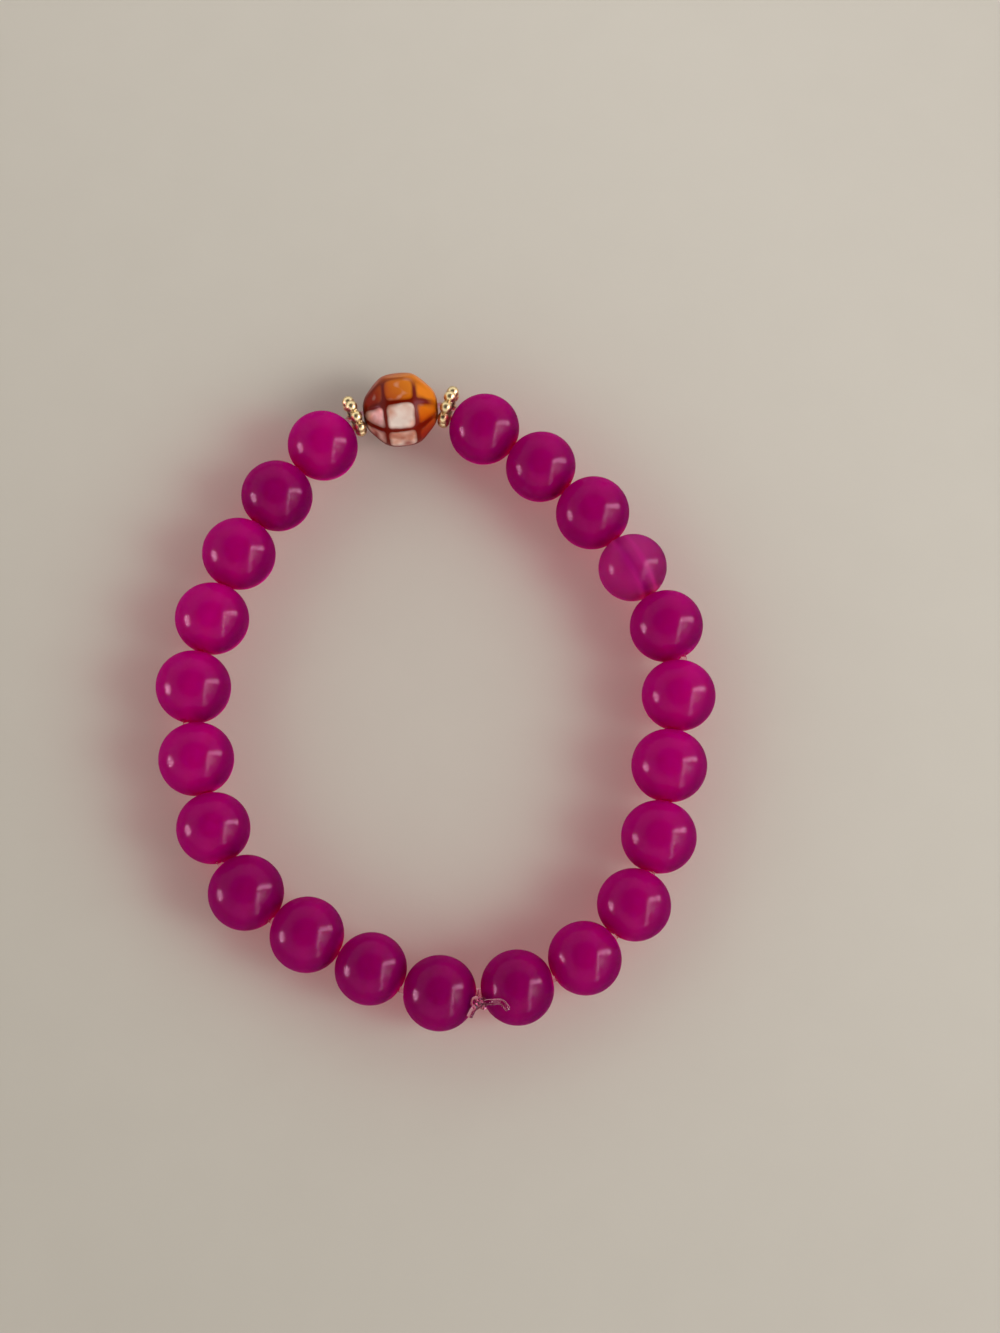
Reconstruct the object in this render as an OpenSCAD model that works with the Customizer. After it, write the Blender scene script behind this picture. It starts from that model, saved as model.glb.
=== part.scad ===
// Stretch bracelet: round beads and one faceted bead on a loop of clear elastic, lying flat.
// Millimetres, +Z up, the largest bead rests on Z = 0 and the origin is under the middle of the
// ring. All holes are on one level.
// Every piece is a link of one closed chain: its hole runs straight from the point where it
// meets the piece before to the point where it meets the piece after.

/* [Round beads] */
// Diameter of a full size bead
bead_d = 8; // [6.5:0.1:9.5]
// Length of that bead along its hole
bead_len = 7.7; // [6.5:0.1:9]
// Diameter of the drilled hole
bead_bore = 1; // [0.9:0.05:1.4]
// Width of the hole's mouth
bead_mouth = 1.6; // [1.5:0.05:2]

/* [Faceted bead] */
// Width across the row of facets round the middle
belt_w = 7.8; // [7.5:0.05:8]
// How much wider the bead is across the slanted facets beside that row
shoulder_extra = 0.2; // [0.1:0.05:0.3]
// How much wider the round blank is that the facets are ground from
blank_extra = 0.6; // [0.5:0.05:0.9]
// Length along the hole
focal_len = 8.3; // [7.8:0.1:8.4]
// Number of facets in one row
facets = 8; // [6:1:12]
// How far the facets are rolled round the hole, in degrees
facet_roll = 15; // [0:1:45]
// Diameter of the hole
focal_bore = 1.2; // [0.9:0.05:1.6]

/* [Spacers] */
// Outer diameter of a spacer ring
spacer_d = 4.8; // [4.2:0.1:5.6]
// Diameter of one granule on the ring
granule_d = 1.35; // [1.1:0.05:1.5]
// Number of granules round the ring
granules = 8; // [6:1:9]
// Thickness of the flat ring that joins the granules
core_t = 0.9; // [0.6:0.05:1.1]
// Diameter of the hole
spacer_bore = 1.3; // [0.9:0.05:1.5]

/* [Elastic] */
// Diameter of the stretched elastic inside the holes
thread_d = 0.6; // [0.5:0.05:0.7]
// Diameter of the elastic where it is pinched between the two beads at the knot
pinched_d = 0.42; // [0.38:0.02:0.44]
// Diameter of the slack cut ends
tail_d = 0.75; // [0.6:0.05:0.8]
// Diameter of the knot
knot_d = 1.5; // [1.2:0.05:1.7]
// How high the knot sits above level on the outside of the ring, in degrees
knot_lift = 52; // [30:1:70]

/* [Fit] */
// Gap between neighbours on the elastic
gap = 0.04; // [0.02:0.01:0.1]
// Gap between the two beads that have the knot between them
knot_gap = 0.45; // [0.4:0.05:0.7]

/* [Hidden] */
$fn = 48;

// Route of the string, seen from above: the points where one piece meets the next. It starts at
// the right end of the faceted bead and goes round by the left.
route = [[0.5, 35], [-8.5, 34], [-9.5, 33],
         [-16, 25.5], [-20.5, 20], [-23.5, 12.5], [-25.5, 5], [-26.5, -2.5], [-24, -11],
         [-21.5, -17.5], [-17, -22.5], [-10, -26.5], [-3.5, -30], [4.5, -31], [12, -29.5],
         [18.5, -25.5], [23, -18.5], [24.5, -11], [25.5, -3], [27, 5], [23.5, 11.5],
         [20, 18], [15.5, 24.5], [8.5, 28.5], [1.5, 34]];
// Size of each round bead as a share of a full one, in the same order
bead_share = [0.98, 0.99, 1.01, 1.01, 1.02, 1.02, 0.99, 1.02, 1.01, 0.97, 1,
              1, 0.99, 0.99, 1.01, 1.02, 1, 1, 0.94, 1.02, 0.98, 0.99];
// Cut ends of the elastic as directions [along the string, outwards, up] from a bead's middle:
// one lies over the bead after the knot, the short one beside the bead before it
long_tail = [[-3.4, 1.6, 2.4], [-2.7, 1.7, 3.1], [-1.8, 1.8, 3.6], [-1.2, 2.6, 3.4]];
short_tail = [[3.4, 2.2, 1.8], [3, 2.9, 1.6]];

// Pieces in order along the string: faceted bead, left spacer, round beads, right spacer. The
// knot comes after the round bead of the number KNOT_AFTER.
count = len(bead_share) + 3;
LEFT = 1;
RIGHT = count - 1;
FIRST_BEAD = 2;
KNOT_AFTER = 11;
BEFORE_KNOT = FIRST_BEAD + KNOT_AFTER - 1;
AFTER_KNOT = BEFORE_KNOT + 1;
// Clearance of the cut ends from the bead they lie on, and of the knot from its two beads
tail_clear = 0.06;
seat_clear = 0.05;
// Sharpest turn of the string that the length of a link allows for, in degrees
steepest = 45;
// How many times the route's points slide, and the share of the error that each slide takes up
rounds = 300;
ease = 0.4;
// Tilt of the slanted facets, in degrees
facet_tilt = 45;
// Sides of the swept tube of elastic
tube_sides = 8;

granule_ring_r = (spacer_d - granule_d) / 2;
shoulder_w = belt_w + shoulder_extra;
blank_d = belt_w + blank_extra;
facet_step = 360 / facets;
// How far the faceted bead reaches from its hole, where two facets of its belt meet or where they
// leave the blank's round surface between them
ground_corner_r = belt_w / 2 / cos(facet_step / 2);
focal_corner_r = min(blank_d / 2, ground_corner_r);

// Its lowest point is such a corner too. The facets are counted in degrees round the hole from
// straight down, by way of the ring's inside.
facet_half = acos(belt_w / 2 / focal_corner_r);
low_facet = min(facet_roll % facet_step, facet_step - facet_roll % facet_step);
focal_low = focal_corner_r * cos(max(0, facet_half - low_facet));
axis_z = max(bead_d / 2 * max(bead_share), focal_low);

// Corners [out, along] of the ground faces: belt to slanted, and slanted to end. The blank's own
// round surface is left wherever they would stand outside it.
belt_corner = [ground_corner_r, (shoulder_w - belt_w * cos(facet_tilt)) / 2 / sin(facet_tilt)];
end_face_w = (shoulder_w - focal_len * sin(facet_tilt)) / cos(facet_tilt);
end_corner = [end_face_w / 2 / cos(facet_step / 2), focal_len / 2];
focal_reach_r = min(blank_d / 2, max(norm(belt_corner), norm(end_corner)));

function after(i) = (i + 1) % count;
function before(i) = (i + count - 1) % count;
function is_spacer(i) = i == LEFT || i == RIGHT;
function is_bead(i) = i >= FIRST_BEAD && i < RIGHT;
function share(i) = is_bead(i) ? bead_share[i - FIRST_BEAD] : 1;

// Half of a piece's length on the string, and how far its end curve is centred off its hole
function half_len(i) =
    is_spacer(i) ? granule_d / 2 : is_bead(i) ? share(i) * bead_len / 2 : focal_reach_r;
function off_axis(i) = is_bead(i) ? share(i) * (bead_d - bead_len) / 2 : 0;
function radius(i) =
    is_spacer(i) ? spacer_d / 2 : is_bead(i) ? share(i) * bead_d / 2 : focal_corner_r;

// Angle by which the string turns at point i of a route p
function bend(p, i) =
    let (a = p[i] - p[before(i)], b = p[after(i)] - p[i])
    min(steepest, abs(atan2(cross(a, b), a * b)));

// Distance from the middle of piece i to the point where it meets piece j at a bend t
function reach(i, j, t) =
    is_spacer(i) ? granule_d / 2 : is_spacer(j) ? seat(i, t) : meet(i, j, t);

// Two round ends touch on the inside of the bend
function meet(i, j, t) =
    let (mean = (half_len(i) + half_len(j)) / 2,
         side = (off_axis(i) + off_axis(j)) / 2,
         space = min(i, j) == BEFORE_KNOT && max(i, j) == AFTER_KNOT ? knot_gap : gap)
    (mean + side * sin(t / 2) + space / 2) / cos(t / 2) + half_len(i) - mean;

// A round end touches the granule that is on the inside of the bend
function seat(i, t) =
    let (clear_r = max(radius(i), half_len(i)) + granule_d / 2 + gap,
         lean = granule_d / 2 * cos(t) - granule_ring_r * sin(t),
         rest = pow(granule_d / 2, 2) + pow(granule_ring_r, 2) - pow(clear_r, 2))
    sqrt(lean * lean - rest) - lean;

function start_reach(p, i) = reach(i, before(i), bend(p, i));
function end_reach(p, i) = reach(i, after(i), bend(p, after(i)));
function link(p, i) = start_reach(p, i) + end_reach(p, i);

function total(v, i = 0) = i == len(v) ? 0 : v[i] + total(v, i + 1);
function span(p, i) = norm(p[after(i)] - p[i]);
function slack(p, i) = (p[after(i)] - p[i]) * ease * (1 - link(p, i) / span(p, i));

// The route is first scaled to the length of the string, then its points slide until each link
// has the length of its piece
function fitted(p) =
    p * total([for (i = [0:count - 1]) link(p, i)]) / total([for (i = [0:count - 1]) span(p, i)]);
function settled(p, n) =
    n == 0 ? p
    : let (pull = [for (i = [0:count - 1]) slack(p, i)])
      settled([for (i = [0:count - 1]) p[i] + pull[i] - pull[before(i)]], n - 1);

ring = settled(fitted(route), rounds);
function middle(i) =
    ring[i] + (ring[after(i)] - ring[i]) * start_reach(ring, i) / link(ring, i);
lows = [for (k = [0:1]) min([for (i = [0:count - 1]) middle(i)[k] - radius(i)])];
highs = [for (k = [0:1]) max([for (i = [0:count - 1]) middle(i)[k] + radius(i)])];
shift = [for (k = [0:1]) -(lows[k] + highs[k]) / 2];

function joint(i) = [ring[i][0] + shift[0], ring[i][1] + shift[1], axis_z];
function seat_point(i) = [middle(i)[0] + shift[0], middle(i)[1] + shift[1], axis_z];
function unit(v) = v / norm(v);

// The knot lies in the groove between its two beads, on the outside of the ring and above it
along = unit(seat_point(AFTER_KNOT) - seat_point(BEFORE_KNOT));
outward = [along[1], -along[0], 0];
upward = [0, 0, 1];
knot_bead_r = max(radius(BEFORE_KNOT), radius(AFTER_KNOT)) + knot_d / 2 + seat_clear;
half_way = norm(seat_point(AFTER_KNOT) - seat_point(BEFORE_KNOT)) / 2;
groove = sqrt(pow(knot_bead_r, 2) - pow(half_way, 2));
groove_way = outward * cos(knot_lift) + upward * sin(knot_lift);
across_way = outward * sin(knot_lift) - upward * cos(knot_lift);
groove_foot = (seat_point(AFTER_KNOT) + seat_point(BEFORE_KNOT)) / 2;
knot_point = groove_foot + groove * groove_way;
function over_bead(i, v) =
    seat_point(i) + unit(v[0] * along + v[1] * outward + v[2] * upward)
    * (radius(i) + tail_d / 2 + tail_clear);

// Places what stands on +Z with its middle at the piece's middle and its Z along the hole
module on_string(i) {
    way = joint(after(i)) - joint(i);
    translate(seat_point(i)) rotate([0, 90, atan2(way[1], way[0])]) children();
}

module rod(a, b, d) {
    way = b - a;
    translate(a)
        rotate([0, acos(way[2] / norm(way)), atan2(way[1], way[0])])
            cylinder(d = d, h = norm(way));
}

// A tube swept along points, mitred at each turn, as a closed loop or with two cut ends. Each
// point carries one outline of the tube, square to the mean of the runs before and after it.
module tube(points, d, closed = false) {
    size = len(points);
    step = 360 / tube_sides;
    first_run = closed ? -1 : 0;
    last_run = closed ? size : size - 2;
    function at(k) = points[(k + size) % size];
    function run(k) = let (j = max(first_run, min(last_run, k))) unit(at(j + 1) - at(j));
    function way(k) = unit(run(k - 1) + run(k));
    function aside(k) = unit(cross(way(k), upward));
    function mitre(k) = 1 / (way(k) * run(k));
    vertices = [for (k = [0:size - 1], m = [0:tube_sides - 1])
        at(k) + d / 2 * (cos(m * step) * mitre(k) * aside(k)
                         + sin(m * step) * cross(aside(k), way(k)))];
    walls = [for (k = [0:closed ? size - 1 : size - 2], m = [0:tube_sides - 1])
        let (n = (m + 1) % tube_sides, j = (k + 1) % size)
        [k * tube_sides + m, k * tube_sides + n, j * tube_sides + n, j * tube_sides + m]];
    start = [for (m = [0:tube_sides - 1]) tube_sides - 1 - m];
    end = [for (m = [0:tube_sides - 1]) (size - 1) * tube_sides + m];
    polyhedron(vertices, closed ? walls : concat(walls, [start, end]));
}

// A round bead, turned from a circle whose middle is a little off the hole. A 45 degree cone
// opens each end of the hole.
module round_bead(number, tone) {
    i = FIRST_BEAD + number - 1;
    r = half_len(i);
    cone_r = r + bead_mouth;
    color(tone)
        on_string(i)
            rotate_extrude($fn = 64)
                difference() {
                    intersection() {
                        translate([off_axis(i), 0]) circle(r = r, $fn = 96);
                        translate([bead_bore / 2, -r]) square([radius(i), 2 * r]);
                    }
                    for (end = [-1, 1])
                        polygon([[0, end * (r - bead_mouth / 2)],
                                 [cone_r, end * (r - bead_mouth / 2 + cone_r)],
                                 [0, end * (r - bead_mouth / 2 + cone_r)]]);
                }
}

// One ground facet: everything beyond a plane at half of the width
module facet(tilt, turn, width) {
    rotate([0, 0, turn]) rotate([0, tilt, 0])
        translate([0, 0, width / 2]) translate([-blank_d, -blank_d, 0]) cube(2 * blank_d);
}

// The faceted bead: a drilled ball with a row of flats ground round its middle and a slanted row
// each side of it
module focal_bead() {
    color([0.65, 0.33, 0.14])
        on_string(0)
            difference() {
                rotate_extrude($fn = 64)
                    intersection() {
                        circle(d = blank_d, $fn = 96);
                        translate([focal_bore / 2, -focal_len / 2]) square([blank_d, focal_len]);
                    }
                for (k = [0:facets - 1]) {
                    turn = facet_roll + k * facet_step;
                    facet(90, turn, belt_w);
                    facet(90 - facet_tilt, turn, shoulder_w);
                    facet(90 + facet_tilt, turn, shoulder_w);
                }
            }
}

// A daisy spacer: granules soldered round a flat drilled ring
module spacer(i) {
    color([0.83, 0.66, 0.42])
        on_string(i)
            difference() {
                union() {
                    for (k = [0:granules - 1])
                        rotate([0, 0, (k + 0.5) * 360 / granules])
                            translate([granule_ring_r, 0, 0]) sphere(d = granule_d);
                    cylinder(r = granule_ring_r, h = core_t, center = true);
                }
                cylinder(d = spacer_bore, h = 2 * granule_d, center = true);
            }
}

module spacer_left() { spacer(LEFT); }

module spacer_right() { spacer(RIGHT); }

// The whole loop through every hole, the two pinched strands up to the knot, and the cut ends
module elastic_thread() {
    strand_gap = pinched_d / 2;
    color([0.88, 0.86, 0.88]) {
        tube([for (i = [0:count - 1]) joint(i)], thread_d, closed = true);
        for (side = [-1, 1])
            rod(groove_foot + side * strand_gap * across_way, knot_point + side * strand_gap * across_way,
                pinched_d);
        translate(knot_point) sphere(d = knot_d);
        tube(concat([knot_point], [for (v = long_tail) over_bead(AFTER_KNOT, v)]), tail_d);
        tube(concat([knot_point], [for (v = short_tail) over_bead(BEFORE_KNOT, v)]), tail_d);
    }
}

LIGHT = [0.62, 0.01, 0.36];
MIDDLE = [0.55, 0.01, 0.32];
DEEP = [0.47, 0, 0.28];
CLEAR = [0.65, 0.1, 0.43];

focal_bead();
spacer_left();
spacer_right();
elastic_thread();
round_bead(1, LIGHT);  // bead_01
round_bead(2, DEEP);  // bead_02
round_bead(3, LIGHT);  // bead_03
round_bead(4, LIGHT);  // bead_04
round_bead(5, LIGHT);  // bead_05
round_bead(6, LIGHT);  // bead_06
round_bead(7, MIDDLE);  // bead_07
round_bead(8, DEEP);  // bead_08
round_bead(9, DEEP);  // bead_09
round_bead(10, DEEP);  // bead_10
round_bead(11, DEEP);  // bead_11
round_bead(12, DEEP);  // bead_12
round_bead(13, MIDDLE);  // bead_13
round_bead(14, MIDDLE);  // bead_14
round_bead(15, MIDDLE);  // bead_15
round_bead(16, LIGHT);  // bead_16
round_bead(17, LIGHT);  // bead_17
round_bead(18, MIDDLE);  // bead_18
round_bead(19, CLEAR);  // bead_19
round_bead(20, MIDDLE);  // bead_20
round_bead(21, MIDDLE);  // bead_21
round_bead(22, MIDDLE);  // bead_22
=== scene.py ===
# %% [markdown]
# # A beaded stretch bracelet
# The bracelet is a loop of clear elastic through 22 round magenta beads, one faceted amber bead
# and two gold daisy spacers. It lies slack on a pale table. The exact solids come from the CAD
# frame, so every bead already has its place, its size and the direction of its hole. This
# lesson measures those and builds the polished pieces around them.

# %% Load the frame
import math
import bmesh
import bpy
import numpy as np
from mathutils import Matrix, Vector, noise


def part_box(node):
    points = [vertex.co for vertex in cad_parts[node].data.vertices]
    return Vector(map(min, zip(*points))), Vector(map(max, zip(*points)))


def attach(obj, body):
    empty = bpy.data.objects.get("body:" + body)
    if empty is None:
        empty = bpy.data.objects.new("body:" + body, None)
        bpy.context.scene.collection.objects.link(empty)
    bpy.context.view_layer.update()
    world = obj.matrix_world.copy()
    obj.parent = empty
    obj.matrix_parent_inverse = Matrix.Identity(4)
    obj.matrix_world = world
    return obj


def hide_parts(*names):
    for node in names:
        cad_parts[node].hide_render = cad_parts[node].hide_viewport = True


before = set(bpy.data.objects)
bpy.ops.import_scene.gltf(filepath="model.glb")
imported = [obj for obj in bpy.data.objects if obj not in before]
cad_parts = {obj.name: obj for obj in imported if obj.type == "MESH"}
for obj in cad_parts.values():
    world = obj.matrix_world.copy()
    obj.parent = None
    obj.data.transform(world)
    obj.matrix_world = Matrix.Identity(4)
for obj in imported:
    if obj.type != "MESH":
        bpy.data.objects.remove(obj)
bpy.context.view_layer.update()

MM = 0.001
BODY = "root"
print("solids in the frame:", len(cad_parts))

# %% [markdown]
# ## Finding each hole
# A drilled bead says where its string runs: the wall of its hole is the only part of its surface
# that faces its own middle. The vertices of that wall lie in two rings, and the line along which
# they spread most is the hole. A spacer is a flat ring, so there the hole is the direction in
# which all its vertices spread least. Measuring is better than typing numbers again, because the
# looks then follow the solids.

# %% Measure the solids
def corners_of(mesh):
    flat = np.zeros(len(mesh.vertices) * 3)
    mesh.vertices.foreach_get("co", flat)
    return flat.reshape(-1, 3)

def points_of(node):
    """The vertices of a solid, in mm."""
    return corners_of(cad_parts[node].data) / MM

def spread(points):
    """Directions in which the points spread, from the least to the most."""
    _, axes = np.linalg.eigh(np.cov(points.T))
    return axes.T

def middle_of(node):
    low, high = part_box(node)
    return np.array((low + high) / 2) / MM

# The middle lies at least this far, in mm, in front of a face that is part of the hole's wall
IN_FRONT = 0.1

def hole_of(node):
    """The middle of a solid and the direction of its hole."""
    middle = middle_of(node)
    if node.startswith("spacer"):
        return middle, spread(points_of(node))[0]
    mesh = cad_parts[node].data
    wall = [v for face in mesh.polygons
            if face.normal.dot(face.center / MM - Vector(middle)) < -IN_FRONT
            for v in face.vertices]
    return middle, spread(points_of(node)[wall])[-1]

# %% Follow the string
BEADS = [f"bead_{n:02d}" for n in range(1, 23)]
STRING = ["focal_bead", "spacer_left"] + BEADS + ["spacer_right"]
holes = {}
for place, node in enumerate(STRING):
    middle, way = hole_of(node)
    ahead = middle_of(STRING[(place + 1) % len(STRING)]) - middle_of(STRING[place - 1])
    holes[node] = (middle, way if way @ ahead > 0 else -way)

def across(node):
    """Length along the hole, outer diameter and bore diameter, in mm."""
    middle, way = holes[node]
    rel = points_of(node) - middle
    along = rel @ way
    out = np.linalg.norm(rel - np.outer(along, way), axis=1)
    return along.max() - along.min(), 2 * out.max(), 2 * out.min()

sizes = {node: across(node) for node in STRING}
for node in ("focal_bead", "spacer_left", "bead_01", "bead_19"):
    print(node, "middle", holes[node][0].round(2), "hole", holes[node][1].round(3),
          "length, diameter, bore", [round(s, 2) for s in sizes[node]])

# %% [markdown]
# ## Shader maths
# A material is a small calculation. Written as Python expressions it can be read like one, so a
# value on its way through the nodes is wrapped in a class whose operators add Math nodes.
# Colours and vectors have their own nodes, because a Math node would turn a colour grey.

# %% Wrap a value
class Value:
    def __init__(self, nodes, socket):
        self.nodes = nodes
        self.socket = socket

    def maths(self, operation, other, swapped=False):
        pair = (other, self) if swapped else (self, other)
        return self.nodes.node("ShaderNodeMath", {"operation": operation}, dict(enumerate(pair)))

    def __add__(self, other):
        return self.maths("ADD", other)

    def __sub__(self, other):
        return self.maths("SUBTRACT", other)

    def __rsub__(self, other):
        return self.maths("SUBTRACT", other, swapped=True)

    def __mul__(self, other):
        return self.maths("MULTIPLY", other)

    __radd__ = __add__
    __rmul__ = __mul__

# %% Add and link nodes
class Nodes:
    """A node tree. It makes any node from its type, its settings and its sockets' values."""
    def __init__(self, tree):
        self.tree = tree

    def node(self, kind, settings=None, sockets=None, out=0):
        made = self.tree.nodes.new(kind)
        for name, setting in (settings or {}).items():
            if name == "stops":
                ramp = made.color_ramp.elements
                while len(ramp) < len(setting):
                    ramp.new(0.5)
                for stop, (where, colour) in zip(ramp, setting):
                    stop.position = where
                    stop.color = (*colour, 1.0)
            else:
                setattr(made, name, setting)
        for name, given in (sockets or {}).items():
            self.feed(made.inputs[name], given)
        return Value(self, made.outputs[out])

    def feed(self, socket, given):
        if isinstance(given, Value):
            self.tree.links.new(given.socket, socket)
        else:
            socket.default_value = given

# %% Paint one material
class Paint(Nodes):
    """The nodes of one material, which ends in one surface shader."""
    def __init__(self, name):
        self.material = bpy.data.materials.new(name)
        self.material.use_nodes = True
        super().__init__(self.material.node_tree)
        self.surface = self.tree.nodes["Principled BSDF"]
        self.place = self.node("ShaderNodeTexCoord", out="Object")

    def mix(self, factor, first, second):
        """Two colours, mixed. Colours are (r, g, b) or values."""
        full = [c if isinstance(c, Value) else (*c, 1.0) for c in (first, second)]
        return self.node("ShaderNodeMix", {"data_type": "RGBA"},
                         {0: factor, 6: full[0], 7: full[1]}, out=2)

    def grain(self, scale, detail):
        """Smooth noise from 0 to 1. The scale is in features per metre."""
        return self.node("ShaderNodeTexNoise", None,
                         {"Vector": self.place, "Scale": scale, "Detail": detail}, out="Fac")

    def attribute(self, name):
        """A value that is kept on the vertices."""
        return self.node("ShaderNodeAttribute", {"attribute_name": name}, out="Fac")

    def ramp(self, value, stops):
        return self.node("ShaderNodeValToRGB", {"stops": stops}, {"Fac": value}, out="Color")

    def rise(self, value, start, end):
        """0 up to the start, 1 from the end on, and a straight slope between."""
        return self.node("ShaderNodeMapRange", {"clamp": True},
                         {"Value": value, "From Min": start, "From Max": end})

    def bump(self, height, depth, strength):
        """A normal from a height of 0 to 1 that is worth this depth in metres."""
        return self.node("ShaderNodeBump", None,
                         {"Height": height, "Distance": depth, "Strength": strength}, out="Normal")

    def set(self, **sockets):
        for name, given in sockets.items():
            self.feed(self.surface.inputs[name.replace("_", " ")], given)
        return self.material

    def tint_shadow(self, share, colour):
        """Shadow rays, and rays that left a matt surface, pass each wall in this colour. The share
        says how much of them does."""
        shadow = self.node("ShaderNodeLightPath", out="Is Shadow Ray")
        bounce = self.node("ShaderNodeLightPath", out="Is Diffuse Ray")
        clear = self.node("ShaderNodeBsdfTransparent", None, {"Color": (*colour, 1.0)})
        made = self.node("ShaderNodeMixShader", None,
                         {0: shadow.maths("MAXIMUM", bounce) * share,
                          1: Value(self, self.surface.outputs[0]), 2: clear})
        self.feed(self.tree.nodes["Material Output"].inputs["Surface"], made)

def tone(*srgb):
    """A colour as a screen shows it, 0 to 255, turned into the light it stands for."""
    return tuple((v / 255 / 12.92) if v <= 10 else ((v / 255 + 0.055) / 1.055) ** 2.4 for v in srgb)

# %% [markdown]
# ## Turning a mesh into a piece
# Every piece is a mesh with a material, rides on the one body that the bracelet has and stands for
# a
# CAD solid. Meshes are worked out in millimetres, where the numbers are easy to read, and scaled
# to metres as the last step.

# %% Helpers for meshes
def grid_mesh(name, rows, loop_rows):
    """Skin over rows of points. Each row is a closed ring, and the last row may join the first."""
    rows = np.asarray(rows)
    count, ring, _ = rows.shape
    faces = []
    for i in range(count if loop_rows else count - 1):
        j = (i + 1) % count
        for a in range(ring):
            b = (a + 1) % ring
            faces.append((i * ring + a, i * ring + b, j * ring + b, j * ring + a))
    mesh = bpy.data.meshes.new(name)
    mesh.from_pydata(rows.reshape(-1, 3).tolist(), [], faces)
    mesh.update()
    return mesh

def point_values(mesh, name, values):
    kept = mesh.attributes.new(name, "FLOAT", "POINT")
    kept.data.foreach_set("value", np.asarray(values, np.float32))

def square_axes(way):
    """Two directions square to this one and to each other."""
    way = np.asarray(way, float) / np.linalg.norm(way)
    side = np.cross(way, (0, 0, 1)) if abs(way[2]) < 0.9 else np.cross(way, (1, 0, 0))
    side /= np.linalg.norm(side)
    return side, np.cross(way, side)

def rises(values, start, end):
    """0 up to the start, 1 from the end on, and a straight slope between."""
    return np.clip((values - start) / (end - start), 0, 1)

# %% Helper for pieces
# Two groups of pieces, because each gets highlights of its own strength
glossy_glass = bpy.data.collections.new("glossy_glass")
gem_and_gold = bpy.data.collections.new("gem_and_gold")

def piece(name, mesh, material, node, group=gem_and_gold):
    mesh.transform(Matrix.Scale(MM, 4))
    mesh.materials.append(material)
    mesh.polygons.foreach_set("use_smooth", [True] * len(mesh.polygons))
    made = bpy.data.objects.new(name, mesh)
    bpy.context.scene.collection.objects.link(made)
    group.objects.link(made)
    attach(made, BODY)
    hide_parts(node)
    return made

# %% [markdown]
# ## Magenta bead glass
# The beads are deeply dyed and cloudy: light goes in, wanders and comes out somewhere else, and
# green never comes out at all. That is subsurface scattering. Red light that enters at the top
# leaves mostly through the underside and through the two ends, where the next bead lies, so a
# brighter painted glow stands for that light there. Painted shade darkens the colour round the
# girdle, where the path through the glass is longest, and on the window's side, whose light is
# carried on to the other side. In the one clearer bead two pale lines of painted glow show where
# the hole is. The scattering carries no gloss of its own: a thin clear coat gives the polish. Two
# sizes of noise are the clouds in the dye.
#
# The table around each bead glows pink, because the shadow of coloured glass is coloured too. A
# ray tracer would need thousands of samples to find those paths. So shadow rays, and rays that
# have left a matt surface, pass through a tinted transparent shader instead.

# %% Bead material
# The colour of the painted shade round the girdle and on the window's side
PAINTED_SHADE_COLOUR = tone(72, 0, 48)
GLOW, GLOW_SHARE = tone(255, 0, 176), 0.68
SCATTER_MM = 1.6

def bead_glass(name, thin, deep, through, solid=1.0, channel=0.0):
    paint = Paint(name)
    clouds = paint.grain(230, 3.0) * 0.7 + paint.grain(900, 2.0) * 0.3
    body = paint.mix(paint.attribute("dye") + (clouds - 0.5) * 0.45, thin, deep)
    # Painted shade round the girdle and on the window's side
    body = paint.mix(paint.attribute("girdle"), body, PAINTED_SHADE_COLOUR)
    # Painted pale lines, in the glow colour, where the hole's walls would show through the glass
    body = paint.mix(paint.attribute("channel") * channel, body, through)
    # Painted glow: the brighter through colour on the underside and at the two ends
    colour = paint.mix(paint.attribute("through"), body, through)
    material = paint.set(Base_Color=colour, Roughness=0.1 + clouds * 0.05, IOR=1.5, Alpha=solid,
                         Specular_IOR_Level=0.0, Subsurface_Weight=1.0,
                         Subsurface_Scale=SCATTER_MM * MM, Subsurface_Radius=(1.0, 0.05, 0.5),
                         Coat_Weight=0.1, Coat_Roughness=0.15, Coat_IOR=1.5,
                         Normal=paint.bump(paint.grain(420, 1.0), 0.00002, 0.5))
    paint.tint_shadow(GLOW_SHARE, GLOW)
    return material

# The third colour of each glass is its painted glow
magenta = bead_glass("magenta_bead_glass", tone(180, 0, 110), tone(130, 0, 80), tone(222, 0, 146))
clearer = bead_glass("clear_magenta_bead_glass", tone(166, 18, 116), tone(146, 10, 98),
                     tone(240, 50, 176), solid=0.85, channel=0.24)
print("bead glass:", magenta.name, clearer.name)

# %% [markdown]
# ## Round beads
# A bead is ground as a ball and drilled through, which leaves it a hair shorter along its hole.
# Its outline is turned round the hole: an arc whose middle lies a little off the axis, a rounded
# mouth and the straight wall of the bore. A lathe in code keeps that mouth soft. Very low waves
# take away the perfection of a computer's ball, and the drill has chipped the mouths a little.

# %% Draw a bead's outline
SHORTENED = 0.9625
MOUTH_WIDE, MOUTH_DEEP = 0.3, 0.34
AROUND, ARC, MOUTH, WALL = 72, 44, 7, 3

def bead_outline(diameter, bore):
    """Points (out from the hole, along it) of a closed outline, in mm."""
    arc_r = diameter / 2 * SHORTENED
    off = diameter / 2 - arc_r
    start = math.asin((bore / 2 + MOUTH_WIDE - off) / arc_r)
    outline = []
    for k in range(ARC + 1):
        a = start + (math.pi - 2 * start) * k / ARC
        outline.append((off + arc_r * math.sin(a), arc_r * math.cos(a)))
    lip = outline[0][1]

    def mouth(k, end):
        a = math.pi / 2 * k / MOUTH
        return (bore / 2 + MOUTH_WIDE * (1 - math.sin(a)),
                end * (lip - MOUTH_DEEP * (1 - math.cos(a))))

    outline += [mouth(k, -1) for k in range(1, MOUTH + 1)]
    bottom = outline[-1][1]
    outline += [(bore / 2, bottom - 2 * bottom * k / WALL) for k in range(1, WALL)]
    return outline + [mouth(k, 1) for k in range(MOUTH, 0, -1)]

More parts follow.
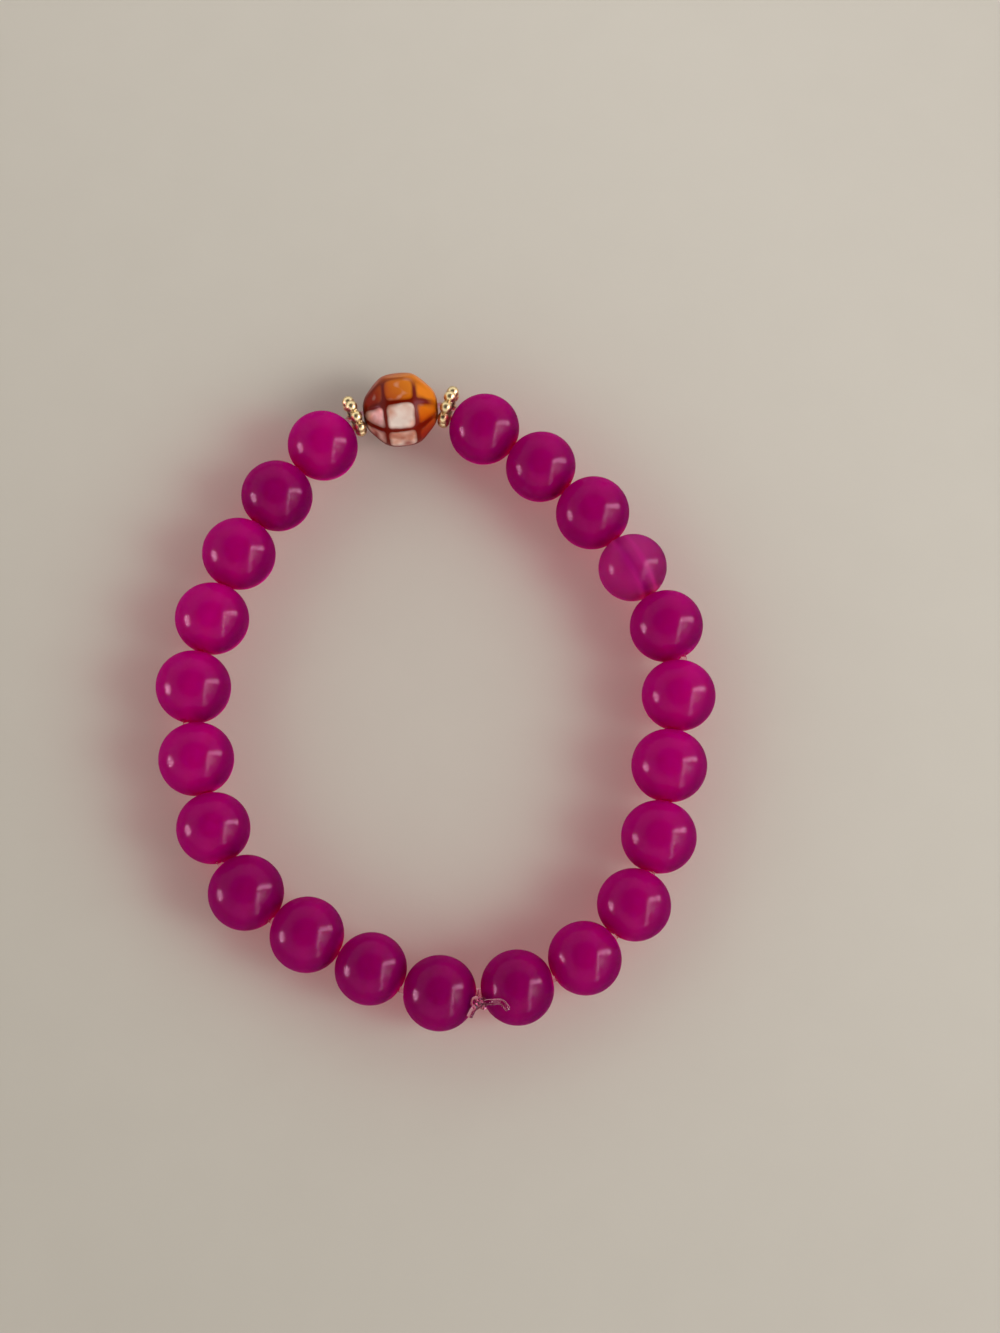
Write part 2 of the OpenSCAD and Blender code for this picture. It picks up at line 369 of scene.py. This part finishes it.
# %% Turn one bead
# Waves all over and chips at the mouths: how many there are per mm, and how deep they go in mm
WAVES, WAVE_DEEP = 0.28, 0.014
CHIPS, CHIP_DEEP = 2.6, 0.12

def turn_bead(node):
    middle, way = holes[node]
    _, diameter, bore = sizes[node]
    side, up = square_axes(way)
    seed = Vector((13.7, 5.1, 2.9)) * int(node[-2:])
    rows = []
    for out, along in bead_outline(diameter, bore):
        near_mouth = max(0.0, 1 - abs(out - bore / 2 - MOUTH_WIDE) / MOUTH_WIDE)
        row = []
        for k in range(AROUND):
            a = 2 * math.pi * k / AROUND
            spot = out * (math.cos(a) * side + math.sin(a) * up) + along * way
            wave = noise.noise(Vector(spot) * WAVES + seed) * WAVE_DEEP
            chip = max(0.0, noise.noise(Vector(spot) * CHIPS + seed) - 0.1) * CHIP_DEEP
            row.append(middle + spot * (1 + (wave - chip * near_mouth) / np.linalg.norm(spot)))
        rows.append(row)
    return grid_mesh(node + "_glass", rows, loop_rows=True)

# %% Say where the dye is thin and deep, and where painted glow and shade go
# The window's side, where the bead gets painted shade
LIT_FROM = np.array((0.97, -0.24, 0.0))
# The painted pale lines of the hole's walls: how many bores off the hole's own line, and how wide
# in mm
LINES_OFF, LINES_WIDE = 0.8, 0.28

def dye_and_painted_light(mesh, node, dye):
    middle, way = holes[node]
    _, diameter, bore = sizes[node]
    rel = (corners_of(mesh) - middle) / (diameter / 2)
    height = rel[:, 2]
    # Painted glow where light leaves the glass: on the underside and at the two ends
    under = rises(-height, 0.1, 0.5)
    ends = rises(abs(rel @ way), 0.84, 0.98) * 0.3
    # Painted shade: low round the girdle and lit on the window's side, fading out on the lower half
    low = 1 - rises(height, 0.23, 0.78)
    lit = rises(rel @ LIT_FROM, 0.15, 0.75)
    off_hole = abs(np.cross(way, rel)[:, 2]) * diameter / 2
    lines = np.exp(-((off_hole - bore * LINES_OFF) / LINES_WIDE) ** 2)
    point_values(mesh, "dye", np.full(len(rel), dye))
    point_values(mesh, "through", np.maximum(under, ends))
    point_values(mesh, "girdle", np.minimum(0.42 * low + 0.5 * lit, 0.8) * rises(height, -0.2, 0.1))
    point_values(mesh, "channel", lines * (height > 0))

# %% String the beads
# How deep the dye is in each bead, from 0, thin, to 1, deep
DYE = [0.25, 0.75, 0.35, 0.2, 0.3, 0.3, 0.5, 0.8, 0.75, 0.85, 0.9,
       0.85, 0.55, 0.45, 0.35, 0.25, 0.2, 0.5, 0.5, 0.55, 0.6, 0.55]
for node, dye in zip(BEADS, DYE):
    bead_mesh = turn_bead(node)
    dye_and_painted_light(bead_mesh, node, dye)
    glass = clearer if node == "bead_19" else magenta
    piece("magenta_" + node, bead_mesh, glass, node, glossy_glass)
print("round beads turned:", len(BEADS))

# %% [markdown]
# ## The faceted bead
# This bead began as a ball of amber glass. Three rows of flats were ground on it and it was fired
# again, which softened every edge. Where no flat was ground, the ball's own curve is left as a
# band. A thin copper lustre was sprayed on the flats from one side. The flats are read from the
# CAD solid. In each direction from the middle the surface lies at the nearest of them, or at the
# ball, and a soft minimum of those distances rounds the edges. This keeps the mesh an even grid,
# which a chain of cuts and bevels wouldn't.

# %% Read the ground flats
LEAST_FLAT_MM2 = 1.5

def flats_of(node):
    """The direction of each flat and its distance from the bead's middle, in mm."""
    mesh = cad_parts[node].data
    middle = Vector(holes[node][0])
    found = {}
    for face in mesh.polygons:
        depth = face.normal.dot(face.center / MM - middle)
        key = (*[round(c, 2) for c in face.normal], round(depth, 1))
        area, normal, _ = found.get(key, (0.0, np.array(face.normal), depth))
        found[key] = (area + face.area / MM ** 2, normal, depth)
    kept = [(normal, depth) for area, normal, depth in found.values()
            if area > LEAST_FLAT_MM2]
    return np.array([k[0] for k in kept]), np.array([k[1] for k in kept])

planes, depths = flats_of("focal_bead")
ball_r = max(np.linalg.norm(points_of("focal_bead") - holes["focal_bead"][0], axis=1))
print("ground flats:", len(planes), "ball, mm:", round(2 * float(ball_r), 2))

# %% Measure how far out its surface is
# The higher this is, the crisper the edges between the flats
CRISP = 70

def nearness(ways):
    """For each direction and each flat, 1 over the distance at which the two meet."""
    return np.clip(ways @ planes.T, 1e-6, None) / depths

def gem_reach(ways):
    """Distance from the middle to the surface in each direction, in mm."""
    facing = nearness(ways)
    near = np.concatenate([facing, np.full((len(ways), 1), 1 / ball_r)], axis=1)
    weights = (near / near.max(axis=1)[:, None]) ** CRISP
    return 1 / (near.max(axis=1) * weights.sum(axis=1) ** (1 / CRISP))

# %% Shape the faceted bead
GEM_AROUND, GEM_ARC, GEM_WALL = 288, 150, 4
GEM_LIP, LIP_EASE, LIP_OUT = 0.12, 0.04, 0.02
GEM_WAVES, GEM_WAVE_DEEP = 2.2, 0.02

def shape_gem(node):
    middle, way = holes[node]
    length, _, bore = sizes[node]
    side, up = square_axes(way)
    start = math.asin((bore / 2 + GEM_LIP) / (length / 2 + LIP_OUT))
    turns = np.arange(GEM_AROUND) * 2 * math.pi / GEM_AROUND
    round_way = np.cos(turns)[:, None] * side + np.sin(turns)[:, None] * up
    rows = []
    for a in np.linspace(start, math.pi - start, GEM_ARC):
        ways = math.sin(a) * round_way + math.cos(a) * way
        wave = [noise.noise(Vector(w) * GEM_WAVES) * GEM_WAVE_DEEP for w in ways]
        rows.append(middle + ways * (gem_reach(ways) + wave)[:, None])
    first = ((rows[0] - middle) @ way).mean()
    last = ((rows[-1] - middle) @ way).mean()
    bottom, deep = last + GEM_LIP, first - last - 2 * GEM_LIP
    wall = [(LIP_EASE, last + LIP_EASE)]
    wall += [(0.0, bottom + deep * k / GEM_WALL) for k in range(GEM_WALL + 1)]
    wall += [(LIP_EASE, first - LIP_EASE)]
    for out, along in wall:
        rows.append(middle + (bore / 2 + out) * round_way + along * way)
    return grid_mesh("amber_gem", rows, loop_rows=True)

gem_mesh = shape_gem("focal_bead")
print("faceted bead:", len(gem_mesh.polygons), "faces")

# %% [markdown]
# ## Where the facets differ
# Every point of the gem belongs to its nearest flat. Where two flats are equally near, a dark line
# of bare glass is left between two patches of lustre, and it is wider where more than two meet.
# Five values on the vertices keep this: how close such a line is, how much lustre the flat caught,
# which falls off away from the side that was sprayed, how much the point itself faces that side,
# a number that tells the flats apart, and a painted glow by direction. The glass is painted orange
# where the light leaves it and a shaded red brown on the other side.

# %% Keep the values on the gem
SPRAYED_FROM = np.array((-0.15, -0.65, 0.74))
# Painted glow is brightest this way from the middle, and painted shade lies opposite
GLOWS_TO = np.array((0.58, 0.50, 0.64))
# The higher this is, the finer the dark lines
LINE_FINENESS = 26
# Numbers that lie far apart for flats that follow each other
FLAT_STEP = 0.381

def facet_values(mesh, node):
    ways = corners_of(mesh) - holes[node][0]
    ways /= np.linalg.norm(ways, axis=1)[:, None]
    near = nearness(ways)
    flat = near.argmax(axis=1)
    rivals = ((near / near.max(axis=1)[:, None]) ** LINE_FINENESS).sum(axis=1)
    point_values(mesh, "edge", 1 - 1 / rivals)
    point_values(mesh, "lustre", np.clip((planes @ SPRAYED_FROM)[flat], 0, 1))
    point_values(mesh, "sprayed", np.clip(ways @ SPRAYED_FROM, 0, 1))
    point_values(mesh, "facet", (flat * FLAT_STEP) % 1.0)
    # The painted glow and shade, by direction
    point_values(mesh, "glow", np.clip(0.5 + 0.5 * ways @ GLOWS_TO, 0, 1))

facet_values(gem_mesh, "focal_bead")

# %% Amber and lustre
# From painted shade, a red brown, to painted glow, orange
AMBER_SHADE_TO_GLOW = [(0.3, tone(132, 10, 2)), (0.55, tone(140, 30, 4)),
         (0.75, tone(176, 72, 6)), (0.95, tone(212, 116, 14))]
PALE_LUSTRE, COPPER_LUSTRE, BARE_LINE = tone(255, 238, 222), tone(220, 158, 132), tone(104, 16, 1)

def amber_lustre():
    paint = Paint("amber_copper_lustre")
    kept = ("edge", "lustre", "sprayed", "facet", "glow")
    edge, lustre, sprayed, facet, glow = (paint.attribute(name) for name in kept)
    drift = paint.grain(420, 2.0)
    blot = paint.grain(620, 1.0)
    # The amber glass with its painted glow and shade
    amber = paint.ramp(glow + (drift - 0.5) * 0.2, AMBER_SHADE_TO_GLOW)
    coat = paint.rise(lustre + (blot - 0.5) * 0.7, 0.58, 0.88) * (1 - facet * 0.25)
    pink = paint.mix(paint.ramp(drift, [(0.38, (0, 0, 0)), (0.62, (1, 1, 1))]),
                     PALE_LUSTRE, COPPER_LUSTRE)
    line = paint.rise(edge + (blot - 0.5) * 0.35, 0.08, 0.34) * paint.rise(sprayed, 0.0, 0.4)
    colour = paint.mix(line, paint.mix(coat, amber, pink), BARE_LINE)
    return paint.set(Base_Color=colour, Roughness=0.26 + drift * 0.12,
                     Metallic=coat * (1 - line) * 0.5, IOR=1.5, Specular_IOR_Level=0.05,
                     Coat_Weight=0.12, Coat_Roughness=0.12,
                     Normal=paint.bump(paint.grain(700, 2.0), 0.00003, 0.5))

piece("amber_faceted_bead", gem_mesh, amber_lustre(), "focal_bead")

# %% [markdown]
# ## Daisy spacers
# A daisy spacer is cast as one piece: eight granules round a flat drilled ring. Where two
# granules meet, the metal runs into a small fillet, and the polishing wheel never reaches
# it, so it stays darker. The granules and the ring are joined by a fine voxel remesh, which
# melts the seams together just as solder does.

# %% Melt and drill a blank
VOXEL_MM = 0.055

def mesh_of(name, shape):
    mesh = bpy.data.meshes.new(name)
    shape.to_mesh(mesh)
    shape.free()
    return mesh

def add_disc(shape, radius, thick, segments):
    bmesh.ops.create_cone(shape, cap_ends=True, segments=segments, radius1=radius, radius2=radius,
                          depth=thick)

def melt_and_drill(blank, bit):
    """One skin over all that is in the blank, drilled by the bit and eased a little."""
    cast, drill = (bpy.data.objects.new(mesh.name, mesh) for mesh in (blank, bit))
    for made in (cast, drill):
        bpy.context.scene.collection.objects.link(made)
    melt = cast.modifiers.new("melt", "REMESH")
    melt.mode = "VOXEL"
    melt.voxel_size = VOXEL_MM
    drilling = cast.modifiers.new("drill", "BOOLEAN")
    drilling.operation = "DIFFERENCE"
    drilling.solver = "EXACT"
    drilling.object = drill
    ease = cast.modifiers.new("ease", "SMOOTH")
    ease.factor = 0.5
    ease.iterations = 3
    bpy.context.view_layer.update()
    eased = cast.evaluated_get(bpy.context.evaluated_depsgraph_get())
    mesh = bpy.data.meshes.new_from_object(eased)
    for made in (cast, drill):
        bpy.data.objects.remove(made)
    return mesh

# %% Cast a spacer
GRANULES, UNEVEN = 8, 0.035
RING_THICK, BIT_LONG = 0.9, 4
# A granule's tip is what lies this close, in mm, to the spacer's full reach
TIP = 0.02
# The seam's shadow starts at this share of a granule's radius and is full this many mm further
SEAM_FROM, SEAM_WIDE = 0.98, 0.12

def first_granule(node, side, up):
    """The angle of a granule in the solid, from the tips of all eight."""
    rel = points_of(node) - holes[node][0]
    tips = rel[np.linalg.norm(rel, axis=1) > sizes[node][1] / 2 - TIP]
    angles = np.arctan2(tips @ up, tips @ side)
    return np.angle(np.mean(np.exp(1j * GRANULES * angles))) / GRANULES

def cast_spacer(node):
    middle, way = holes[node]
    length, diameter, bore = sizes[node]
    side, up = square_axes(way)
    granule_r = length / 2
    ring_r = diameter / 2 - granule_r
    start = first_granule(node, side, up)
    blank, bit = bmesh.new(), bmesh.new()
    centres = []
    for k in range(GRANULES):
        a = start + 2 * math.pi * k / GRANULES
        size = 1 + UNEVEN * noise.noise(Vector((k * 3.1, middle[0], 0.0)))
        centres.append(Vector((math.cos(a) * ring_r, math.sin(a) * ring_r, 0)))
        bmesh.ops.create_icosphere(blank, subdivisions=4, radius=granule_r * size,
                                   matrix=Matrix.Translation(centres[-1]))
    add_disc(blank, ring_r, RING_THICK, 64)
    add_disc(bit, bore / 2, BIT_LONG, 48)
    mesh = melt_and_drill(mesh_of(node + "_gold", blank), mesh_of(node + "_bit", bit))
    away = np.min([np.linalg.norm(corners_of(mesh) - np.array(c), axis=1) for c in centres], axis=0)
    seam = granule_r * SEAM_FROM
    point_values(mesh, "seam", rises(away, seam, seam + SEAM_WIDE))
    turn = Matrix((side, up, way)).transposed().to_4x4()
    mesh.transform(Matrix.Translation(Vector(middle)) @ turn)
    return mesh

# %% Plate and place the spacers
def pale_gold():
    paint = Paint("pale_gold_plate")
    seam = paint.attribute("seam")
    drift = paint.grain(1400, 3.0)
    bright = paint.mix(drift, tone(240, 220, 172), tone(222, 196, 140))
    colour = paint.mix(seam * 0.85, bright, tone(84, 66, 36))
    return paint.set(Base_Color=colour, Metallic=1.0, Roughness=0.28 + drift * 0.1 + seam * 0.15,
                     Normal=paint.bump(paint.grain(5000, 3.0), 0.000012, 0.6))

gold = pale_gold()
for node in ("spacer_left", "spacer_right"):
    made = piece("gold_daisy_" + node.split("_")[1], cast_spacer(node), gold, node)
    print(made.name, len(made.data.polygons), "faces")

# %% [markdown]
# ## Clear elastic
# The elastic is a round clear cord. It runs through every hole and shows only in the small gaps
# between the beads. Between two of the beads at the bottom both ends come out, are knotted and
# cut off. The loop passes through the middles of the beads and the places where two holes meet.
# The knot and the ends are swept along their own curves.

# %% Sweep a cord
def smooth_path(points, steps, closed=False):
    """A curve through the points (Catmull-Rom)."""
    points = [np.asarray(p, float) for p in points]
    n = len(points)
    path = []
    for i in range(n if closed else n - 1):
        near = [(i + k) % n if closed else min(max(i + k, 0), n - 1) for k in (-1, 0, 1, 2)]
        p = [points[k] for k in near]
        for s in range(steps):
            t = s / steps
            path.append(0.5 * (2 * p[1] + (p[2] - p[0]) * t
                        + (2 * p[0] - 5 * p[1] + 4 * p[2] - p[3]) * t ** 2
                        + (3 * p[1] - p[0] - 3 * p[2] + p[3]) * t ** 3))
    return path if closed else path + [points[-1]]

SIDES = 16
# A cut end's rounded edge: shares of the radius, and how far out each ring lies in mm
CUT_EDGE = ((0.94, 0.03), (0.8, 0.05), (0.02, 0.05))

def sweep(name, path, width, closed=False):
    """A round cord along a path. Open ends are cut square, with a slightly rounded edge."""
    path = np.array(path)
    ways = (np.roll(path, -1, 0) - np.roll(path, 1, 0)) if closed else np.gradient(path, axis=0)
    ways /= np.linalg.norm(ways, axis=1)[:, None]
    side = square_axes(ways[0])[0]
    rows = []
    widths = np.broadcast_to(np.asarray(width, float), len(path))
    for at, way, thick in zip(path, ways, widths):
        side = side - way * (side @ way)
        side /= np.linalg.norm(side)
        up = np.cross(way, side)
        rows.append([at + thick / 2 * (math.cos(a) * side + math.sin(a) * up)
                     for a in np.arange(SIDES) * 2 * math.pi / SIDES])
    if not closed:
        first, last = ([path[end] + (np.array(rows[end]) - path[end]) * share + way * out
                        for share, out in CUT_EDGE] for end, way in ((0, -ways[0]), (-1, ways[-1])))
        rows = first[::-1] + rows + last
    return grid_mesh(name, rows, loop_rows=closed)

# %% Run the loop through the holes
THREAD_WIDTH = 0.6

def crossing(first, second):
    """Where the holes of two neighbours meet, seen from above."""
    (p, a), (q, b) = holes[first], holes[second]
    turn = a[0] * b[1] - a[1] * b[0]
    if abs(turn) < 0.05:
        return (p + q) / 2
    t = ((q - p)[0] * b[1] - (q - p)[1] * b[0]) / turn
    return p + a * t

loop = []
for node, after in zip(STRING, STRING[1:] + STRING[:1]):
    loop += [holes[node][0], crossing(node, after)]
loop_path = smooth_path(loop, 6, closed=True)
length = sum(np.linalg.norm(b - a) for a, b in zip(loop_path, loop_path[1:] + loop_path[:1]))
print("elastic loop, mm:", round(float(length), 1))

# %% Clear elastic material
# Among the beads it looks pink, so it is tinted a little: a painted reflection of the beads' colour
def clear_elastic():
    paint = Paint("clear_elastic")
    drift = paint.grain(700, 2.0)
    return paint.set(Base_Color=paint.mix(drift, tone(255, 214, 232), tone(250, 194, 220)),
                     Roughness=0.05 + drift * 0.06, IOR=1.34, Transmission_Weight=1.0,
                     Normal=paint.bump(paint.grain(2600, 2.0), 0.00002, 0.5))

elastic = clear_elastic()
print("elastic:", elastic.name)

# %% [markdown]
# ## The knot
# Two pinched strands rise out of the gap between beads 11 and 12. They are tied in an overhand
# knot and lie down on the beads, one end long and one short. The knot is a tight trefoil curve:
# one strand runs into it and on into the long end, and the other lies through it and runs on
# into the short end. It sits in the groove between the two beads, on the outside of the ring,
# and its place is worked out from theirs, so that it touches neither of them.

# %% Find the knot's place
KNOT_WIDTH, END_WIDTH, KNOT_LIFT = 1.5, 0.75, math.radians(52)
# How far the knot and the ends keep off the glass, in mm
KNOT_OFF, END_OFF = 0.05, 0.06
UP = np.array((0.0, 0.0, 1.0))
# The cut ends as directions (along the string, outwards, up) from a bead's middle
LONG_TAIL = [(-3.4, 1.6, 2.4), (-2.7, 1.7, 3.1), (-1.8, 1.8, 3.6), (-1.2, 2.6, 3.4)]
SHORT_TAIL = [(3.4, 2.2, 1.8), (3, 2.9, 1.6)]

ahead, behind = holes["bead_12"][0], holes["bead_11"][0]
ALONG = (ahead - behind) / np.linalg.norm(ahead - behind)
OUTWARD = np.array((ALONG[1], -ALONG[0], 0.0))
FOOT = (ahead + behind) / 2
bead_r = max(sizes["bead_11"][1], sizes["bead_12"][1]) / 2
half_way = np.linalg.norm(ahead - behind) / 2
groove = math.sqrt((bead_r + KNOT_WIDTH / 2 + KNOT_OFF) ** 2 - half_way ** 2)
KNOT = FOOT + groove * (OUTWARD * math.cos(KNOT_LIFT) + UP * math.sin(KNOT_LIFT))

def over_bead(middle, way):
    """Where a cut end lies on a bead, in this direction from its middle."""
    way = way[0] * ALONG + way[1] * OUTWARD + way[2] * UP
    return middle + way / np.linalg.norm(way) * (bead_r + END_WIDTH / 2 + END_OFF)

LONG_END = [over_bead(ahead, way) for way in LONG_TAIL]
SHORT_END = [over_bead(behind, way) for way in SHORT_TAIL]
print("knot at, mm:", KNOT.round(2), "foot", FOOT.round(2), "long end", LONG_END[-1].round(2))

# %% Tie the knot
KNOT_SIZE = 1.25
PINCHED, TIE_WIDTH, SECOND_WIDTH = 0.36, 0.62, 0.66
OPEN_AT = 0.35

def knot_turns(middle, size):
    """A trefoil, the closed form of an overhand knot, opened a little to let the strand in."""
    turns = []
    for t in np.linspace(OPEN_AT, 2 * math.pi - OPEN_AT, 30):
        turns.append((math.sin(t) + 2 * math.sin(2 * t), math.cos(t) - 2 * math.cos(2 * t),
                      -1.4 * math.sin(3 * t)))
    turns = np.array(turns) * size / 6
    lean = Matrix.Rotation(0.9, 3, "X") @ Matrix.Rotation(0.5, 3, "Z")
    return [middle + np.array(lean @ Vector(p)) for p in turns]

halfway_up = (FOOT + KNOT) / 2
tie = [FOOT + (-0.1, 0, 0), halfway_up + (-0.1, 0, 0)] + knot_turns(KNOT, KNOT_SIZE) + LONG_END
second = [FOOT + (0.1, 0, 0), halfway_up + (0.12, 0, 0),
          KNOT + (0.25, 0.1, 0.2), KNOT + (-0.1, -0.3, 0.35)] + SHORT_END
tie_path = smooth_path(tie, 4)
second_path = smooth_path(second, 6)

def slackening(path, thick):
    """The pinched strand swells to its full width over about the first third of its way."""
    return PINCHED + (thick - PINCHED) * np.clip(np.linspace(0, 3.2, len(path)), 0, 1)

# %% Join the loop and the knot
strands = [sweep("loop", loop_path, THREAD_WIDTH, closed=True),
           sweep("tie", tie_path, slackening(tie_path, TIE_WIDTH)),
           sweep("second", second_path, slackening(second_path, SECOND_WIDTH))]
thread = bmesh.new()
for mesh in strands:
    thread.from_mesh(mesh)
    bpy.data.meshes.remove(mesh)
bmesh.ops.recalc_face_normals(thread, faces=thread.faces)
thread_mesh = mesh_of("elastic", thread)
piece("clear_elastic_loop", thread_mesh, elastic, "elastic_thread")
print("elastic:", len(thread_mesh.polygons), "faces")

# %% [markdown]
# ## The table
# The bracelet lies on a plain pale surface, warm grey and matt. A painted falloff of the window's
# light makes it a little lighter towards the window, and two scales of very weak noise keep it
# from being a single colour.

# %% Table
TABLE_REACH = 12.0
# Painted light: how much lighter the table gets per metre towards the window
PAINTED_LIGHT_SLOPE = (6.9, 3.9, 0.0)

def table_top():
    paint = Paint("pale_table")
    drift = paint.grain(14, 3.0) * 0.6 + paint.grain(160, 3.0) * 0.4
    slope = paint.node("ShaderNodeVectorMath", {"operation": "DOT_PRODUCT"},
                       {0: paint.place, 1: PAINTED_LIGHT_SLOPE}, out="Value")
    # The painted falloff of the window's light, plus the table's own noise
    painted_light_and_tone = paint.rise(slope, -0.5, 0.5) * 0.86 + drift * 0.28 - 0.07
    return paint.set(Base_Color=paint.mix(painted_light_and_tone, tone(187, 179, 166), tone(213, 205, 192)),
                     Roughness=0.62 + drift * 0.1, Specular_IOR_Level=0.0,
                     Normal=paint.bump(paint.grain(900, 4.0), 0.00003, 0.5))

corners = [(x * TABLE_REACH, y * TABLE_REACH, 0) for x, y in ((-1, -1), (1, -1), (1, 1), (-1, 1))]
table_mesh = bpy.data.meshes.new("table")
table_mesh.from_pydata(corners, [], [(0, 1, 2, 3)])
table_mesh.materials.append(table_top())
table = bpy.data.objects.new("table", table_mesh)
bpy.context.scene.collection.objects.link(table)
print("table, m across:", 2 * TABLE_REACH)

# %% [markdown]
# ## Light
# The shadows tell how the room is lit: each bead darkens the table all round it, so the light is
# low and comes from every side, and it darkens it most on the left, so there is a window on the
# right, about 30 degrees up. Overhead the room is dark. The sky is worked out from this: an even
# belt that ends at some height, and a soft round glow for the window.

# %% Sky
WINDOW = (0.823, -0.202, 0.532)
WINDOW_LIGHT, WINDOW_TIGHT = 9.0, 34.0
BELT_LIGHT = 1.28
# The belt fades out between these heights, each the sine of an angle above the table
BELT_ENDS = (0.6, 0.82)

def soft_sky():
    world = bpy.data.worlds.new("soft_sky")
    world.use_nodes = True
    sky = Nodes(world.node_tree)
    way = sky.node("ShaderNodeTexCoord", out="Generated")
    height, facing = (sky.node("ShaderNodeVectorMath", {"operation": "DOT_PRODUCT"},
                               {0: way, 1: toward}, out="Value") for toward in ((0, 0, 1), WINDOW))
    belt = sky.node("ShaderNodeMapRange", {"interpolation_type": "SMOOTHSTEP"},
                    {0: height, 1: BELT_ENDS[0], 2: BELT_ENDS[1], 3: BELT_LIGHT, 4: 0.0})
    window = facing.maths("MAXIMUM", 0.0).maths("POWER", WINDOW_TIGHT) * WINDOW_LIGHT
    background = world.node_tree.nodes["Background"].inputs
    sky.feed(background["Strength"], window + belt)
    sky.feed(background["Color"], (1.0, 1.0, 1.0, 1.0))
    return world

bpy.context.scene.world = soft_sky()
bpy.context.scene.view_settings.view_transform = "Standard"

# %% [markdown]
# ## Highlights
# Each bead shows the same bright marks: a bent bar on its right, like two sides of a window frame,
# and a round spot on its left. The sky is too soft to draw them, so strip lights do, and only
# reflections see them. A clear coat mirrors a lamp in the lamp's own colour, and the marks on the
# beads are pink, so the strips are pink. The coat mirrors little, so they are strong, and on gold
# they would be glaring. Light linking therefore gives each strip to the beads alone, and a weak
# copy of it to all the other pieces.

# %% Lights for the highlights
CAMERA_AXES = Matrix(((1, 0, 0), (0, 0.971, -0.239), (0, 0.239, 0.971)))
FAR = 0.9
BEAD_HEIGHT = 0.004
PINK = (1.0, 0.52, 0.76)
WEAK_COPY = 0.12

def glint(name, first, last, wide_degrees, radiance, group):
    """A strip light from one direction to another, or a round one where they are the same.
    Directions are given as right, up and towards the photograph's camera."""
    a, b = (CAMERA_AXES @ Vector(way).normalized() for way in (first, last))
    out = (a + b).normalized()
    is_round = a.angle(b) < 0.01
    length = max(wide_degrees, math.degrees(a.angle(b)))
    along = out.orthogonal() if is_round else b - a
    along = (along - out * along.dot(out)).normalized()
    lamp = bpy.data.lights.new(name, "AREA")
    lamp.shape = "ELLIPSE" if is_round else "RECTANGLE"
    lamp.size = 2 * FAR * math.tan(math.radians(length / 2))
    lamp.size_y = 2 * FAR * math.tan(math.radians(wide_degrees / 2))
    lamp.energy = radiance * math.pi * lamp.size * lamp.size_y
    lamp.color = PINK
    made = bpy.data.objects.new(name, lamp)
    bpy.context.scene.collection.objects.link(made)
    turn = Matrix((along, out.cross(along), out)).transposed().to_4x4()
    made.matrix_world = Matrix.Translation(out * FAR + Vector((0, 0, BEAD_HEIGHT))) @ turn
    made.visible_diffuse = False
    made.visible_transmission = False
    made.light_linking.receiver_collection = group
    print(name, "degrees", round(length), "watts", round(lamp.energy, 1))

CORNER = (0.675, 0.289, 0.679)
TAIL = (0.576, -0.48, 0.663)
SPOT = (-0.98, -0.10, 0.16)
GLINTS = [("bar", CORNER, (0.974, 0.217, -0.06), 11, 46),
          ("tail_top", CORNER, TAIL, 9, 25),
          ("tail_end", TAIL, (0.371, -0.929, 0), 9, 14),
          ("lamp", SPOT, SPOT, 24, 44)]
for name, first, last, wide, radiance in GLINTS:
    glint(name, first, last, wide, radiance, glossy_glass)
    glint(name + "_on_gold", first, last, wide, radiance * WEAK_COPY, gem_and_gold)

# %% [markdown]
# ## Camera
# The photograph looks almost straight down, leaning a little, from about 28 cm. Its place was
# worked out from the middles of the beads in the photograph and in the CAD frame.

# %% Camera
LEAN = math.radians(13.82)
LOOK_AT = Vector((6.97, 2.93, 4.0)) * MM
DISTANCE = 0.2819
camera_data = bpy.data.cameras.new("photo_camera")
camera_data.lens = 70.2
camera_data.sensor_width = 36.0
camera_data.clip_start = 0.01
camera = bpy.data.objects.new("photo_camera", camera_data)
camera.location = LOOK_AT - Vector((0, math.sin(LEAN), -math.cos(LEAN))) * DISTANCE
camera.rotation_euler = (LEAN, 0, 0)
bpy.context.scene.collection.objects.link(camera)
bpy.context.scene.camera = camera
print("camera at, mm:", [round(c / MM, 1) for c in camera.location])
